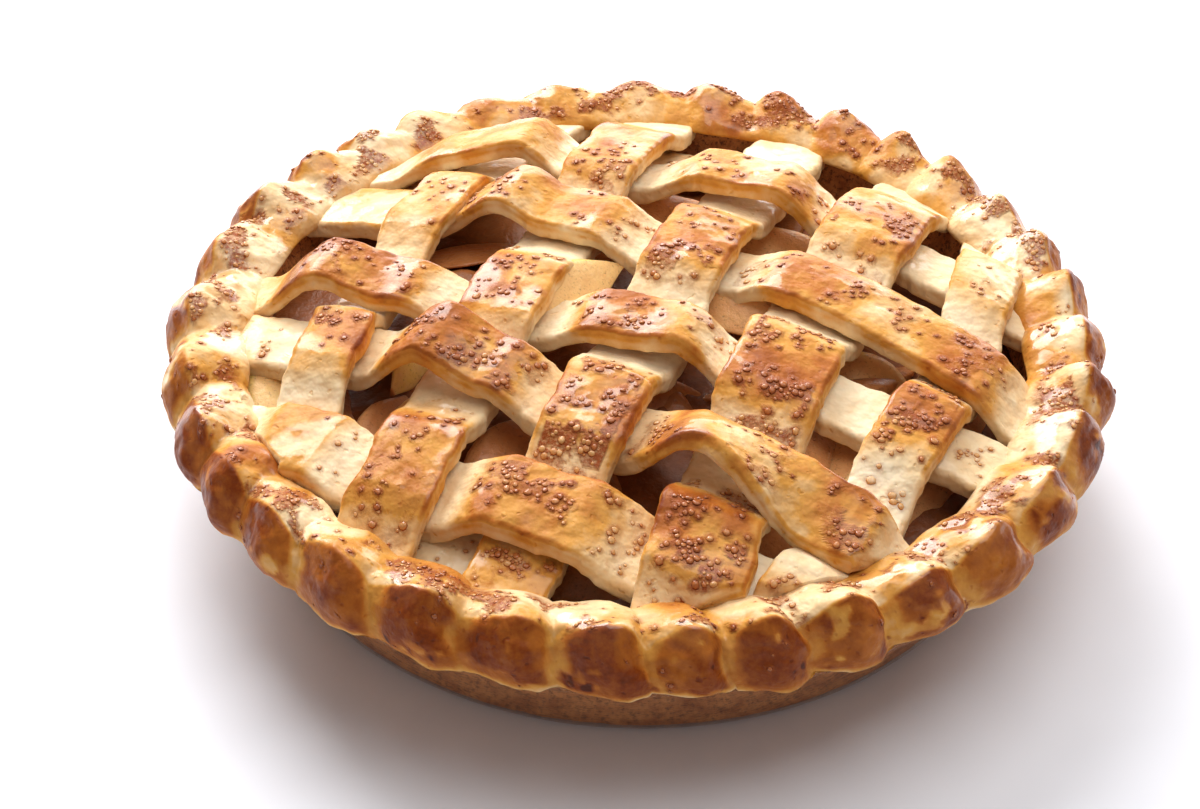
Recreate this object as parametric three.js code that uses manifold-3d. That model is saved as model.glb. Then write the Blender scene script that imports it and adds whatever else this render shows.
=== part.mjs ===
// Lattice-topped apple pie in its own round glass pie dish.
// Millimetres, +Z up. The origin is the centre of the dish's flat underside, and the pie rests on z = 0.
// The pie is made the way a baker makes it: a pastry shell with a fluted rim lines the dish, apple
// slices in sauce fill it, and ten long strips with two short ones are woven over the filling.

import Module from 'manifold-3d';
import * as THREE from 'three';
import { mergeVertices } from 'three/addons/utils/BufferGeometryUtils.js';

// ---- Driving dimensions ----

const CLEARANCE = 0.3;          // gap between the dish and its lining, and the lining and its filling
const TRIM_GAP = 0.5;           // gap left where a strip is trimmed to what it passes under

const DISH = {
  footRadius: 104,              // where the wall's line meets the table
  wallLean: 0.4,                // radius gained for each millimetre of height
  glass: 4.0,                   // wall thickness
  corner: 6.0,                  // size of the rounded foot
  flangeRadius: 123.5,
  flangeTop: 36.0,
  flangeThickness: 4.0,
  facets: 48,
};

const SHELL = {
  thickness: 4.5,
  wallTop: 46.4,                // the lining runs up into the fluted rim
  facets: 48,
};

const RIM = {
  flutes: 34,
  columnsPerFlute: 4,
  slant: 0.05,                  // radians that a groove drifts from the inner brow to the lip
  // Corners of the section as [radius, height], in a groove and on the crest of a flute.
  section: [
    { groove: [106.6, 45.5], flute: [106.6, 45.5] },    // inner edge, over the strips' ends
    { groove: [107.4, 47.0], flute: [107.6, 47.6] },    // brow
    { groove: [114.6, 47.8], flute: [114.4, 50.4] },    // inner slope
    { groove: [119.9, 47.4], flute: [118.8, 52.8] },
    { groove: [122.6, 46.0], flute: [122.2, 53.8] },    // crest
    { groove: [125.0, 44.4], flute: [126.4, 51.0] },    // shoulder
    { groove: [126.2, 41.6], flute: [129.8, 45.2] },    // outermost
    { groove: [125.2, 37.7], flute: [128.0, 37.0] },    // lip over the dish's flange
    { groove: [113.5, 36.5], flute: [113.5, 36.5] },    // seat, inside the lining
    { groove: [113.5, 45.3], flute: [113.5, 45.3] },    // throat
  ],
  brow: 1,                      // rows between which a groove slants
  lip: 7,
  // Uneven pinching: [times round the rim, drift in flutes, where it peaks in degrees].
  drift: [[1, 0.276, 95], [2, 0.104, -118], [3, 0.131, 168], [4, 0.05, -150], [5, 0.095, 56]],
  firstFlute: 0.283,
  fluteSwing: 0.22,             // share by which some flutes are smaller than the largest
  // Flutes pressed lower along one stretch, about its middle and as far as half its length.
  pressed: { share: 0.5, middle: 1.8, half: 1.0 },
  // Room that the rim's inner edge needs over the strips' ends.
  relief: [[106.1, 45.0], [106.9, 48.4], [112.0, 51.0], [112.0, 45.0]],
};

const LATTICE = {
  edgeRadius: 108.9,            // the strips end under the rim's inner edge
  edgeDrop: -3.2,               // and dip by this much to get there
  domeRadius: 110,
  edgeHeight: 45,               // height of the weave's middle at the edge
  domeRise: 14,                 // and how much higher it is in the centre
  thickness: 5.5,
  roundness: 0.5,               // exponent of the section's rounded outline
  plateau: 0.26,                // level part of each span, next to a crossing
  stepLength: 8.5,
  sectionSides: 6,
};

const OVER = LATTICE.thickness / 2 + 0.8;
const UNDER = -OVER;

// The strips of each family lie roughly side by side. angle is the strip's direction in degrees
// from +X; offset is its end's distance from the centre, to the left of that direction, and bow is
// how much further out its middle lies. rise gives its height above the dome at each crossing with
// the other family, in that family's order. arch lists free humps: [distance along, height, half
// length]. turn lists twists about its length: [distance along, degrees, half length].
const RISING_STRIPS = [
  { angle: 69, offset: 62, bow: 9, width: 18, rise: [UNDER, OVER, UNDER, 4.2, UNDER] },
  { angle: 69.5, offset: 31, bow: 0, width: 21.5, rise: [4.6, UNDER, 4, UNDER, OVER] },
  { angle: 68, offset: -8, bow: 0, width: 22.5, rise: [UNDER, 4.4, UNDER, 3.8, UNDER] },
  { angle: 68, offset: -51, bow: 5, width: 26, rise: [4.2, UNDER, 4, UNDER, OVER] },
  { angle: 66, offset: -77, bow: -8, width: 18, rise: [OVER, UNDER, OVER, UNDER, 5] },
];

const FALLING_STRIPS = [
  { angle: -20.5, offset: 48, bow: 16, width: 20, rise: [4.6, UNDER, 5.4, UNDER, UNDER],
    arch: [[-56, 4.5, 24], [24, 2.5, 20]] },
  { angle: -25.5, offset: 15, bow: 10, width: 22, rise: [UNDER, OVER, UNDER, 4, 3.8],
    arch: [[-54, 8, 18]] },
  { angle: -19, offset: -20, bow: 4, width: 18.5, rise: [4.4, UNDER, 4.4, UNDER, UNDER],
    arch: [[-84, 6, 20], [20, 2, 14]], turn: [[24, -12, 22]] },
  { angle: -27, offset: -52, bow: 5, width: 20, rise: [UNDER, 4.4, UNDER, 6.5, 4],
    arch: [[-36, 6.5, 18]], turn: [[36, -14, 20], [70, 20, 18]] },
  { angle: -22.5, offset: -80, bow: -4, width: 22, to: 59, rise: [OVER, UNDER, 3.8, UNDER, UNDER] },
];

// Two offcuts fill the corners that the long strips leave at the near left and the far side.
const OFFCUTS = {
  strip_offcut_near: { angle: -20, offset: -94, bow: 0, width: 15, from: -34, to: 4, level: -9.2 },
  strip_offcut_far: { angle: -20, offset: 89, bow: 0, width: 15, from: -36, to: 14, level: -9.6 },
};

const FILLING = {
  edgeHeight: 30,
  centreHeight: 46,
  facets: 48,
  sliceCount: 21,
  slice: { length: 46, depth: 19, thickness: 6.5, bend: 0.2 },
  topGap: 7.6,                  // how far the slices' tops lie below the middle of the weave
};

// Slices that show in the larger openings: [x, y, direction in degrees, lean in degrees].
const SHOWN_SLICES = [
  [-29, 74, -18, 24], [-49, 37, 8, -18], [-34, -49, 60, 20], [-63, -33, 75, 26], [28, 11, -30, 22],
  [40, 44, -15, 18], [62, -15, -24, 26], [3, -31, 20, 30], [82, -27, 62, 18], [-86, -16, 72, 16],
  [64, -56, 35, 22], [-1, -84, 5, 24], [37, -72, 50, 18], [48, -44, 80, 24], [7, 60, 25, 20],
];
const WEDGE = { x: -9, y: 8, direction: 60, lean: 66, length: 23, depth: 24, thickness: 6, topGap: -1 };

// Coarse sugar: the largest grains, scattered over the rim and the strips.
const SUGAR = { radius: 1, sunk: 0.5, perStrip: 3, onRim: 17 };

// ---- Finishes ----

const finish = (color, roughness, metalness = 0) =>
  new THREE.MeshStandardMaterial({ color, roughness, metalness });

const clearGlass = finish('#c9d6cf', 0.08);
const rimPastry = finish('#b9743a', 0.45);
const stripPastry = finish('#dca45a', 0.5);
const apple = finish('#a5703c', 0.35);

// ---- Geometry to solid and back ----

const wasm = await Module();
wasm.setup();

function signedVolume(positions, triangles) {
  const a = new THREE.Vector3();
  const b = new THREE.Vector3();
  const c = new THREE.Vector3();
  let sum = 0;
  for (let i = 0; i < triangles.length; i += 3) {
    a.fromArray(positions, 3 * triangles[i]);
    b.fromArray(positions, 3 * triangles[i + 1]);
    c.fromArray(positions, 3 * triangles[i + 2]);
    sum += a.dot(b.cross(c)) / 6;
  }
  return sum;
}

// Welds a closed three.js geometry and returns it as a solid whose faces point out.
function toSolid(geometry) {
  geometry.deleteAttribute('normal');
  geometry.deleteAttribute('uv');
  const welded = mergeVertices(geometry, 1e-3);
  const positions = new Float32Array(welded.attributes.position.array);
  const triangles = [];
  const index = welded.index.array;
  for (let i = 0; i < index.length; i += 3) {
    const [a, b, c] = [index[i], index[i + 1], index[i + 2]];
    if (a !== b && b !== c && c !== a) triangles.push(a, b, c);
  }
  if (signedVolume(positions, triangles) < 0) triangles.reverse();
  const mesh = new wasm.Mesh({
    numProp: 3,
    vertProperties: positions,
    triVerts: new Uint32Array(triangles),
  });
  mesh.merge();
  return new wasm.Manifold(mesh);
}

function toMesh(name, solid, material) {
  const result = solid.getMesh();
  const geometry = new THREE.BufferGeometry();
  geometry.setAttribute('position', new THREE.BufferAttribute(result.vertProperties, 3));
  geometry.setIndex(new THREE.BufferAttribute(result.triVerts, 1));
  geometry.computeVertexNormals();
  const mesh = new THREE.Mesh(geometry, material);
  mesh.name = name;
  return mesh;
}

// Turns a [radius, height] profile round the Z axis. A profile that starts off the axis is closed
// on itself, and makes a ring.
function turned(profile, facets) {
  const closed = profile[0][0] === 0 ? profile : [...profile, profile[0]];
  const points = closed.map(([radius, height]) => new THREE.Vector2(radius, height));
  const geometry = new THREE.LatheGeometry(points, facets);
  geometry.rotateX(Math.PI / 2);
  return toSolid(geometry);
}

// Moves every vertex of a geometry to where place(point, index) puts it.
function reshape(geometry, place) {
  const positions = geometry.attributes.position;
  const point = new THREE.Vector3();
  for (let i = 0; i < positions.count; i += 1) {
    point.fromBufferAttribute(positions, i);
    place(point, i);
    positions.setXYZ(i, point.x, point.y, point.z);
  }
  return geometry;
}

// Eases a share from 0 to 1, level at both ends.
const smooth = (share) => {
  const t = THREE.MathUtils.clamp(share, 0, 1);
  return t * t * (3 - 2 * t);
};

// Repeatable random numbers from 0 to 1.
function randomFrom(seed) {
  let state = seed;
  return () => {
    state = (state + 0x6d2b79f5) | 0;
    let mixed = Math.imul(state ^ (state >>> 15), 1 | state);
    mixed = (mixed + Math.imul(mixed ^ (mixed >>> 7), 61 | mixed)) ^ mixed;
    return ((mixed ^ (mixed >>> 14)) >>> 0) / 4294967296;
  };
}

// ---- Dish, pastry shell and rim ----

// Outline of the dish's inside or outside, from the axis to the given height: a flat floor, a
// rounded foot and a straight leaning wall, inset from the glass's outer face.
function basin(inset, top) {
  const lean = DISH.wallLean;
  const wallRadius = (height) =>
    DISH.footRadius + lean * height - inset * Math.hypot(1, lean);
  const corner = new THREE.Vector2(wallRadius(inset), inset);
  const cornerEnd = inset + DISH.corner;
  const curve = new THREE.QuadraticBezierCurve(
    new THREE.Vector2(corner.x - DISH.corner, inset),
    corner,
    new THREE.Vector2(wallRadius(cornerEnd), cornerEnd),
  );
  const foot = curve.getPoints(3).map((point) => [point.x, point.y]);
  return [[0, inset], ...foot, [wallRadius(top), top]];
}

function dishSolid() {
  const { flangeTop, flangeRadius, flangeThickness, glass } = DISH;
  const outside = basin(0, flangeTop - flangeThickness);
  const flange = [
    [flangeRadius - 1, flangeTop - flangeThickness + 0.4],
    [flangeRadius, flangeTop - flangeThickness / 2],
    [flangeRadius - 1, flangeTop],
  ];
  const inside = basin(glass, flangeTop).reverse();
  return turned([...outside, ...flange, ...inside], DISH.facets);
}

// Position round the rim counted in flutes; whole numbers fall on crests.
function fluteCount(angle) {
  const evenly = (RIM.flutes * angle) / (2 * Math.PI) + RIM.firstFlute;
  return RIM.drift.reduce((sum, [times, amount, peak]) =>
    sum + amount * Math.cos(times * angle - THREE.MathUtils.degToRad(peak)), evenly);
}

// The angle at which the count reaches a value, by Newton steps.
function fluteAngle(count) {
  const perRadian = RIM.flutes / (2 * Math.PI);
  let angle = (count - RIM.firstFlute) / perRadian;
  for (let step = 0; step < 12; step += 1) angle -= (fluteCount(angle) - count) / perRadian;
  return angle;
}

// How far a place stands between a groove (0) and the crest of the largest flute (1).
function fluteHeight(count) {
  const { share, middle, half } = RIM.pressed;
  const wave = Math.abs(Math.cos(Math.PI * count));
  const flute = Math.floor(count + 0.5);
  const size = 1 - RIM.fluteSwing * (0.5 + 0.5 * Math.sin(2.4 * flute + 0.8));
  const away = Math.abs(fluteAngle(flute % RIM.flutes) - middle) / half;
  return wave * size * (1 - share * smooth(1 - away));
}

// A point of the rim: a row of its section at a count of flutes. Grooves slant from brow to lip.
function rimPoint(row, count) {
  const lobe = fluteHeight(count);
  const { groove, flute } = RIM.section[row % RIM.section.length];
  const slantShare = (Math.min(row, RIM.lip) - RIM.brow) / (RIM.lip - RIM.brow);
  const angle = fluteAngle(count) + RIM.slant * (slantShare - 0.5);
  const radius = THREE.MathUtils.lerp(groove[0], flute[0], lobe);
  const height = THREE.MathUtils.lerp(groove[1], flute[1], lobe);
  return new THREE.Vector3(radius * Math.cos(angle), radius * Math.sin(angle), height);
}

// A ring whose section swells into a flute and sinks into a groove again and again.
function rimSolid() {
  const columns = RIM.flutes * RIM.columnsPerFlute;
  const rows = RIM.section.length;
  const geometry = new THREE.TorusGeometry(1, 0.5, rows, columns);
  reshape(geometry, (point, i) => {
    const row = Math.floor(i / (columns + 1)) % rows;
    const column = (i % (columns + 1)) % columns;
    point.copy(rimPoint(row, column / RIM.columnsPerFlute + 0.5));
  });
  return toSolid(geometry);
}

function shellSolid() {
  const inset = DISH.glass + CLEARANCE;
  const outside = basin(inset, SHELL.wallTop);
  const inside = basin(inset + SHELL.thickness, SHELL.wallTop).reverse();
  return turned([...outside, ...inside], SHELL.facets);
}

// ---- Lattice ----

const domeHeight = (x, y) => {
  const share = Math.min(1, (x * x + y * y) / LATTICE.domeRadius ** 2);
  return LATTICE.edgeHeight + LATTICE.domeRise * (1 - share);
};

// Adds what follows from a strip's direction and offset.
function prepare(strip) {
  const angle = THREE.MathUtils.degToRad(strip.angle);
  return {
    arch: [],
    turn: [],
    level: 0,
    stops: [],
    ...strip,
    along: new THREE.Vector2(Math.cos(angle), Math.sin(angle)),
    across: new THREE.Vector2(-Math.sin(angle), Math.cos(angle)),
  };
}

// How far from its middle a strip meets the rim, for a line that runs beside its centre line.
function reach(strip, side = 0) {
  return Math.sqrt(LATTICE.edgeRadius ** 2 - (strip.offset + side) ** 2);
}

// The centre line seen from above, at a distance along the strip.
function planPoint(strip, distance, side = 0) {
  const bowed = strip.bow * (1 - (distance / reach(strip)) ** 2);
  return strip.along.clone().multiplyScalar(distance)
    .addScaledVector(strip.across, strip.offset + bowed + side);
}

// Where another strip crosses this one, as a distance along this one.
function crossing(strip, other) {
  let distance = 0;
  for (let step = 0; step < 8; step += 1) {
    const here = planPoint(strip, distance);
    const otherDistance = here.dot(other.along);
    const gap = here.dot(other.across) - planPoint(other, otherDistance).dot(other.across);
    distance -= gap / strip.along.dot(other.across);
  }
  return distance;
}

// Height above the dome along a strip: level at each crossing, easing over from one to the next,
// and down to the dome at both ends.
function weaveHeight(strip, distance) {
  const stops = strip.stops;
  let height = strip.level;
  for (let i = 0; i + 1 < stops.length; i += 1) {
    const [start, startRise] = stops[i];
    const [end, endRise] = stops[i + 1];
    if (distance >= start && distance <= end) {
      const share = (distance - start) / (end - start);
      const eased = smooth((share - LATTICE.plateau) / (1 - 2 * LATTICE.plateau));
      height = THREE.MathUtils.lerp(startRise, endRise, eased);
    }
  }
  for (const [centre, rise, half] of strip.arch) {
    height += rise * smooth(1 - Math.abs(distance - centre) / half);
  }
  return height;
}

function stripTwist(strip, distance) {
  return strip.turn.reduce((sum, [centre, degrees, half]) =>
    sum + THREE.MathUtils.degToRad(degrees) * smooth(1 - Math.abs(distance - centre) / half), 0);
}

// A point of the strip: side runs across its width and lift through its thickness.
function stripPoint(strip, distance, side, lift) {
  const twist = stripTwist(strip, distance);
  const flatSide = side * Math.cos(twist) - lift * Math.sin(twist);
  const flatLift = side * Math.sin(twist) + lift * Math.cos(twist);
  const plan = planPoint(strip, distance, flatSide);
  const height = domeHeight(plan.x, plan.y) + weaveHeight(strip, distance);
  return new THREE.Vector3(plan.x, plan.y, height + flatLift);
}

// A long cylinder whose round section is squared off and carried along the strip. A strip that
// reaches the rim has its ends cut to the rim's circle.
function stripSolid(strip, grow = 0) {
  const length = (strip.to ?? reach(strip)) - (strip.from ?? -reach(strip));
  const steps = Math.round(length / LATTICE.stepLength);
  const geometry = new THREE.CylinderGeometry(1, 1, 1, LATTICE.sectionSides, steps);
  const squared = (value) => Math.sign(value) * Math.abs(value) ** LATTICE.roundness;
  reshape(geometry, (point) => {
    const side = squared(point.x) * (strip.width / 2 + grow);
    const lift = squared(point.z) * (LATTICE.thickness / 2 + grow);
    const start = strip.from ?? -reach(strip, side);
    const end = strip.to ?? reach(strip, side);
    const beyond = Math.abs(point.y) > 0.499 ? Math.sign(point.y) * 2 * grow : 0;
    const distance = THREE.MathUtils.lerp(start, end, point.y + 0.5) + beyond;
    point.copy(stripPoint(strip, distance, side, lift));
  });
  return toSolid(geometry);
}

// ---- Filling ----

// A bent apple slice: a ball flattened, thick at the skin and thin at the core. It follows the
// dome, with its top a little below the weave.
function sliceSolid(x, y, direction, lean, size) {
  const geometry = new THREE.SphereGeometry(1, 6, 5);
  const turn = new THREE.Matrix4().makeRotationZ(THREE.MathUtils.degToRad(direction));
  const tip = new THREE.Matrix4().makeRotationX(THREE.MathUtils.degToRad(lean));
  reshape(geometry, (point) => {
    const skin = 0.65 + 0.35 * point.z;
    const along = (point.y * size.length) / 2;
    const across = (point.z * size.depth) / 2 - size.bend * size.depth * 2 * point.y ** 2;
    const through = ((point.x * size.thickness) / 2) * skin;
    point.set(along, across, through).applyMatrix4(tip).applyMatrix4(turn);
  });
  geometry.computeBoundingBox();
  const highest = geometry.boundingBox.max.z;
  reshape(geometry, (point) => {
    const [atX, atY] = [point.x + x, point.y + y];
    point.set(atX, atY, domeHeight(atX, atY) - size.topGap + point.z - highest);
  });
  return toSolid(geometry);
}

function fillingSolid() {
  const inset = DISH.glass + SHELL.thickness + 2 * CLEARANCE;
  const outside = basin(inset, FILLING.edgeHeight);
  const surface = [1, 0.6, 0].map((share) => {
    const radius = share * outside.at(-1)[0];
    return [radius, THREE.MathUtils.lerp(FILLING.centreHeight, FILLING.edgeHeight, share ** 2)];
  });
  let solid = turned([...outside.slice(0, -1), ...surface], FILLING.facets);
  const size = { ...FILLING.slice, topGap: FILLING.topGap };
  for (const [x, y, direction, lean] of SHOWN_SLICES) {
    solid = solid.add(sliceSolid(x, y, direction, lean, size));
  }
  const random = randomFrom(11);
  const scattered = FILLING.sliceCount - SHOWN_SLICES.length;
  for (let i = 0; i < scattered; i += 1) {
    const angle = 2.4 * i;
    const radius = 84 * Math.sqrt((i + 0.5) / scattered);
    const place = [radius * Math.cos(angle), radius * Math.sin(angle)];
    solid = solid.add(sliceSolid(...place, 360 * random(), 12 + 24 * random(), size));
  }
  const wedgeSize = { ...WEDGE, bend: 0.15 };
  return solid.add(sliceSolid(WEDGE.x, WEDGE.y, WEDGE.direction, WEDGE.lean, wedgeSize));
}

// ---- Sugar ----

// Sets grains on a solid, each sunk a little below the surface point that it is given.
function sugared(solid, points) {
  return points.reduce((sum, point) => {
    const grain = new THREE.IcosahedronGeometry(SUGAR.radius, 0);
    grain.translate(point.x, point.y, point.z - SUGAR.sunk);
    return sum.add(toSolid(grain));
  }, solid);
}

// Points on the rim's inner slope and outer face, one in every so many flutes.
function rimSugar() {
  const random = randomFrom(5);
  return Array.from({ length: SUGAR.onRim }, (_, i) => {
    const row = [2, 5, 2, 3, 5][i % 5];
    const firstColumn = Math.floor((i * RIM.flutes * RIM.columnsPerFlute) / SUGAR.onRim);
    const column = firstColumn + Math.floor(2 * random());
    const start = column / RIM.columnsPerFlute + 0.5;
    const end = (column + 1) / RIM.columnsPerFlute + 0.5;
    const point = new THREE.Vector3();
    for (const count of [start, end]) {
      point.addScaledVector(rimPoint(row, count), 0.25);
      point.addScaledVector(rimPoint(row + 1, count), 0.25);
    }
    return point;
  });
}

// Points on a strip's upper face, only where the strip isn't about to pass under another one.
function stripSugar(strip, seed) {
  const random = randomFrom(seed);
  const points = [];
  const half = 0.86 * reach(strip);
  while (points.length < SUGAR.perStrip) {
    const distance = THREE.MathUtils.lerp(-half, Math.min(half, strip.to ?? half), random());
    const share = 1.4 * (random() - 0.5);
    if (weaveHeight(strip, distance) < 0.5) continue;
    const lift = (LATTICE.thickness / 2) * (1 - 0.31 * Math.abs(share));
    points.push(stripPoint(strip, distance, (share * strip.width) / 2, lift));
  }
  return points;
}

// ---- The pie ----

const rising = RISING_STRIPS.map(prepare);
const falling = FALLING_STRIPS.map(prepare);
const offcuts = Object.entries(OFFCUTS).map(([name, strip]) => ({ ...prepare(strip), name }));

function addStops(family, others) {
  for (const strip of family) {
    const crossings = others.map((other, i) => [crossing(strip, other), strip.rise[i]]);
    crossings.sort((a, b) => a[0] - b[0]);
    const end = reach(strip) + 8;
    strip.stops = [[-end, LATTICE.edgeDrop], ...crossings, [end, LATTICE.edgeDrop]];
  }
}
addStops(rising, falling);
addStops(falling, rising);
rising.forEach((strip, i) => { strip.name = `strip_rising_${i + 1}`; });
falling.forEach((strip, i) => { strip.name = `strip_falling_${i + 1}`; });

// A rising strip lies under a falling one where its rise there is negative, and the other way
// round.
function liesUnder(strip, other) {
  const family = [rising, falling].find((strips) => strips.includes(other));
  if (!family || family.includes(strip) || !strip.rise) return false;
  return strip.rise[family.indexOf(other)] < 0;
}

// A strip trimmed to the rim's inner edge and to every strip that it passes under.
function wovenStrip(strip) {
  let solid = stripSolid(strip).subtract(turned(RIM.relief, 72));
  for (const other of [...rising, ...falling]) {
    if (liesUnder(strip, other)) solid = solid.subtract(stripSolid(other, TRIM_GAP));
  }
  return solid;
}

const pie = new THREE.Group();
pie.name = 'lattice_apple_pie';
pie.add(toMesh('glass_dish', dishSolid(), clearGlass));
pie.add(toMesh('crust', sugared(shellSolid().add(rimSolid()), rimSugar()), rimPastry));
pie.add(toMesh('filling', fillingSolid(), apple));
[...rising, ...falling].forEach((strip, i) => {
  pie.add(toMesh(strip.name, sugared(wovenStrip(strip), stripSugar(strip, 20 + i)), stripPastry));
});
for (const strip of offcuts) pie.add(toMesh(strip.name, wovenStrip(strip), stripPastry));

export default pie;
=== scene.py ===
"""A baked lattice apple pie in its own clear glass dish.

Each piece is a surface worked out on a grid with numpy. Lengths are metres; MM turns a size in
millimetres into metres. The dish stands on z = 0 with its centre on the Z axis.
"""

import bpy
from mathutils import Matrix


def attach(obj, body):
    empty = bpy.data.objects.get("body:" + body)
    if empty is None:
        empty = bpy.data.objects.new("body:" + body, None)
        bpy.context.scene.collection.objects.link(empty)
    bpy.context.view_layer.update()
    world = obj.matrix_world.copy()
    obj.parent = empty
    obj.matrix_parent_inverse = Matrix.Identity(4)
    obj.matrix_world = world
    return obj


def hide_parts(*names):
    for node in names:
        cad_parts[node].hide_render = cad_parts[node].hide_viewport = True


bl_info = {
    "name": "Lattice Apple Pie",
    "version": (1, 0, 0),
    "blender": (4, 5, 0),
    "location": "3D View > Sidebar > Apple Pie",
    "description": "Builds a baked lattice apple pie in its glass dish",
    "category": "Object",
}

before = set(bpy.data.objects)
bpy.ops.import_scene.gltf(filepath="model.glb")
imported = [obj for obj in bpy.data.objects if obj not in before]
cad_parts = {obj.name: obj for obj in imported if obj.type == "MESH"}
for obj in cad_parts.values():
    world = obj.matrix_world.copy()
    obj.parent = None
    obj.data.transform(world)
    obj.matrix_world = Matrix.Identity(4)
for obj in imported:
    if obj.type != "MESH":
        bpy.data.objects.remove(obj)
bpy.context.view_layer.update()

import math
from functools import cache
from itertools import product
from types import SimpleNamespace

import bpy
import numpy as np
from bpy.props import FloatProperty, FloatVectorProperty, IntProperty, PointerProperty
from mathutils import Matrix, Vector

MM = 0.001


def srgb(red, green, blue):
    """A scene-linear colour from display values of 0 to 255, by the sRGB curve."""
    shares = np.array([red, green, blue]) / 255
    linear = np.where(shares <= 0.04045, shares / 12.92, ((shares + 0.055) / 1.055) ** 2.4)
    return tuple(float(value) for value in linear)


# ---- Sizes and colours that a user may change ----

def measure(name, millimetres, description):
    """A length among a group's properties."""
    return FloatProperty(
        name=name, description=description, default=millimetres * MM, unit="LENGTH")


def paint(name, red, green, blue, description):
    """A colour among a group's properties, from display values."""
    return FloatVectorProperty(
        name=name, description=description, default=srgb(red, green, blue), subtype="COLOR")


class PieDishSettings(bpy.types.PropertyGroup):
    """The glass pie dish and the pastry that lines it."""

    foot_radius: measure("Foot radius", 104, "Where the wall's line meets the table")
    wall_lean: FloatProperty(
        name="Wall lean", description="Radius gained for each metre of height", default=0.4)
    glass: measure("Glass", 1, "Thickness of the wall")
    corner: measure("Corner", 3.2, "Size of the rounded foot")
    flange_radius: measure("Flange radius", 123.5, "Outer radius of the flange under the rim")
    flange_top: measure("Flange top", 36, "Height of the flange's upper face")
    flange_thickness: measure("Flange thickness", 4, "Thickness of the flange")
    lining: measure("Lining", 7.5, "Thickness of the pastry that lines the dish")


class PieRimSettings(bpy.types.PropertyGroup):
    """The fluted pastry rim."""

    flutes: IntProperty(name="Flutes", description="Pinched lobes round the rim", default=34)
    columns: IntProperty(name="Columns", description="Points along each flute", default=30)
    slant: FloatProperty(
        name="Slant", description="Angle that a groove drifts from the brow to the lip",
        default=0.05, subtype="ANGLE")
    swing: FloatProperty(
        name="Swing", description="Share by which some flutes are smaller", default=0.22)
    skew: FloatProperty(
        name="Skew", description="How far each flute leans over the next", default=0.14)
    lumps: measure("Lumps", 1, "Depth of the unevenness of the baked dough")


class PieLatticeSettings(bpy.types.PropertyGroup):
    """The woven strips."""

    edge_radius: measure("Edge radius", 108.9, "Where the strips end, under the rim")
    edge_drop: measure("Edge drop", -3.2, "Height of the strips' ends over the dome")
    dome_radius: measure("Dome radius", 110, "Radius of the domed weave")
    edge_height: measure("Edge height", 45, "Height of the weave's middle at its edge")
    dome_rise: measure("Dome rise", 14, "How much higher the weave is in the centre")
    thickness: measure("Thickness", 5.9, "Thickness of a strip")
    corner: measure("Corner", 1.55, "Radius of a strip's long edges")
    crown: measure("Crown", 0.5, "How far a strip's upper face swells")
    step: measure("Step", 0.65, "Spacing of the points along a strip")


class PieFillingSettings(bpy.types.PropertyGroup):
    """Apple slices in syrup."""

    edge_height: measure("Edge height", 30, "Height of the syrup at the lining")
    centre_height: measure("Centre height", 46, "Height of the syrup in the middle")
    buried_gap: measure("Buried gap", 7.6, "How far the buried slices lie below the weave")


class PieColourSettings(bpy.types.PropertyGroup):
    """Baked colours, from raw to burnt, and the rest."""

    raw: paint("Raw", 250, 237, 208, "Pastry that hardly browned")
    pale: paint("Pale", 242, 213, 168, "Lightly baked pastry")
    golden: paint("Golden", 218, 156, 71, "Golden pastry")
    brown: paint("Brown", 183, 106, 37, "Well browned pastry")
    dark: paint("Dark", 130, 57, 14, "Dark egg-washed pastry")
    burnt: paint("Burnt", 84, 34, 10, "Scorched spots")
    syrup: paint("Syrup", 156, 90, 44, "Cooked syrup between the slices")
    lining: paint("Lining", 204, 136, 82, "Pastry baked against the glass")
    floor: paint("Floor", 240, 243, 253, "The surface under the pie")


class ApplePieSettings(bpy.types.PropertyGroup):
    """Everything about the pie."""

    dish: PointerProperty(type=PieDishSettings)
    rim: PointerProperty(type=PieRimSettings)
    lattice: PointerProperty(type=PieLatticeSettings)
    filling: PointerProperty(type=PieFillingSettings)
    colour: PointerProperty(type=PieColourSettings)


def settings():
    """The scene's own sizes and colours."""
    return bpy.context.scene.apple_pie


# ---- Colours that are mixed in ----

CARAMEL = srgb(156, 77, 28)
LINING_MOTTLE = srgb(140, 72, 34)
LINING_FLECKS = srgb(80, 38, 18)
CINNAMON = srgb(120, 66, 32)
SYRUP_CLOUDS = srgb(92, 46, 20)
APPLE_TONES = (
    (0.0, srgb(248, 210, 112)), (0.12, srgb(250, 208, 142)), (0.35, srgb(232, 172, 116)),
    (0.65, srgb(184, 116, 66)), (1.0, srgb(86, 46, 22)))
SUGAR_TONES = (
    (0.0, srgb(254, 234, 200)), (0.3, srgb(238, 182, 116)), (0.55, srgb(206, 124, 66)),
    (0.8, srgb(158, 78, 36)), (1.0, srgb(112, 48, 22)))


# ---- Tables of the pie's own pieces, in millimetres and degrees ----

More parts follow.
